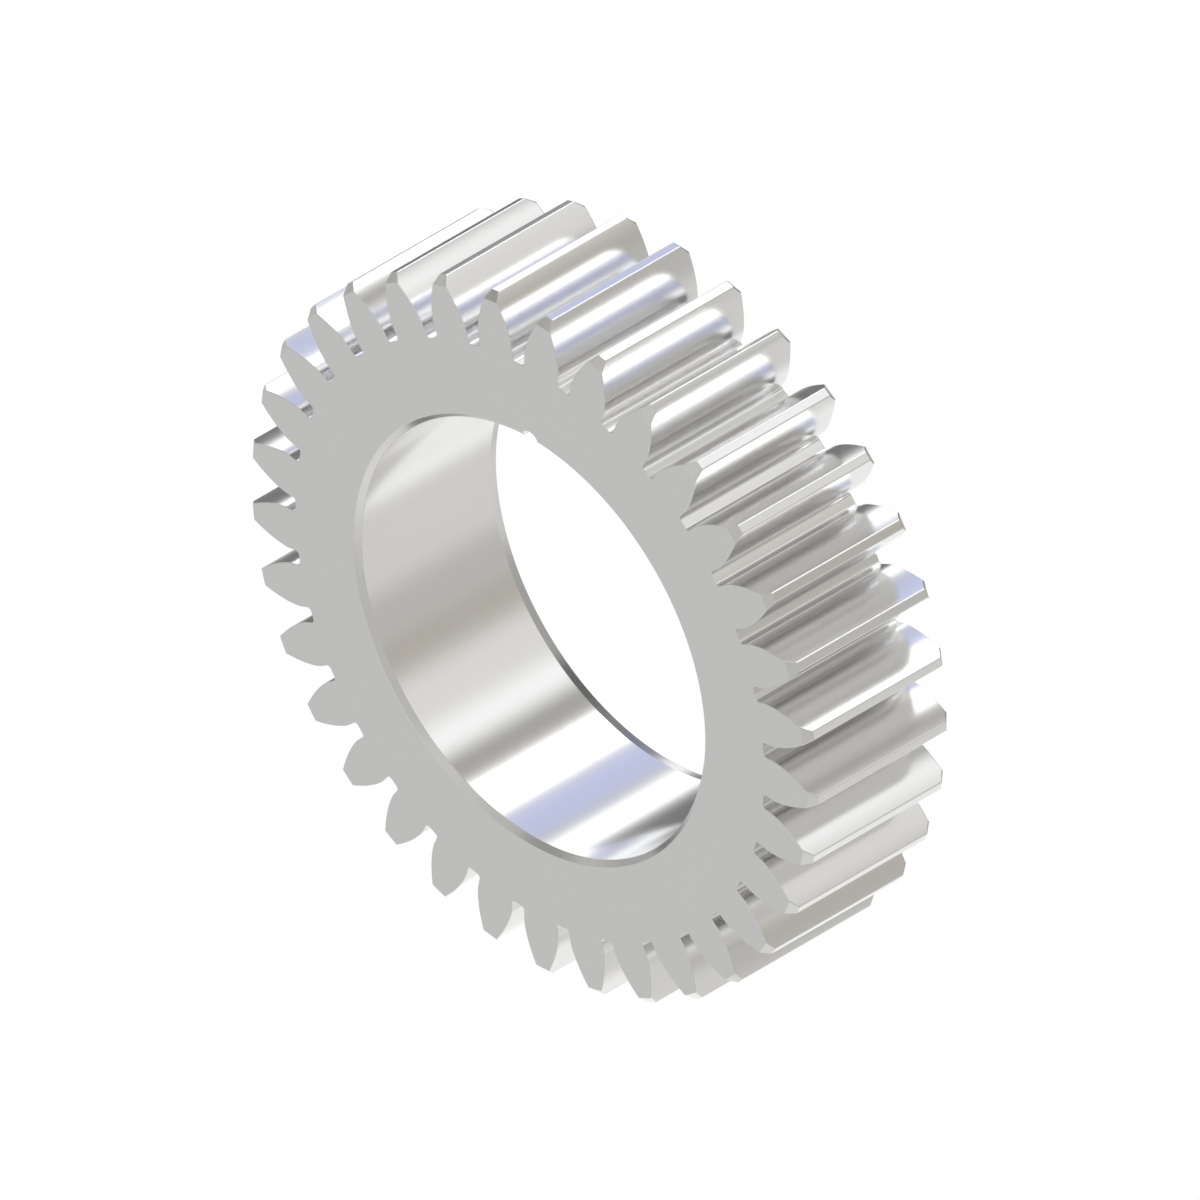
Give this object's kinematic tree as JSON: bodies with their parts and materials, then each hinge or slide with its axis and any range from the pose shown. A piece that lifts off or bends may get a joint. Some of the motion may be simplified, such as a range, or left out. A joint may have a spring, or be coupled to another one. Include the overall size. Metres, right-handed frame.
{
  "type": "crankshaft gear",
  "caption": "Spur gear ring for the front end of a crankshaft, with a wide plain bore, a half-round pin groove and a lead-in taper in it.",
  "frame": {"origin": "on the bore's axis, at the end face that the gear lies on", "axes": "+Z along the bore, towards the end face that the picture shows; +X through the middle of a tooth; +Y through the pin groove"},
  "size_m": [0.108, 0.1082, 0.0267],
  "materials": {
    "steel": "turned end faces, ground bore and tooth flanks, bare and bright"
  },
  "bodies": {
    "root": {"crankshaft_gear": "steel"}
  },
  "joints": []
}
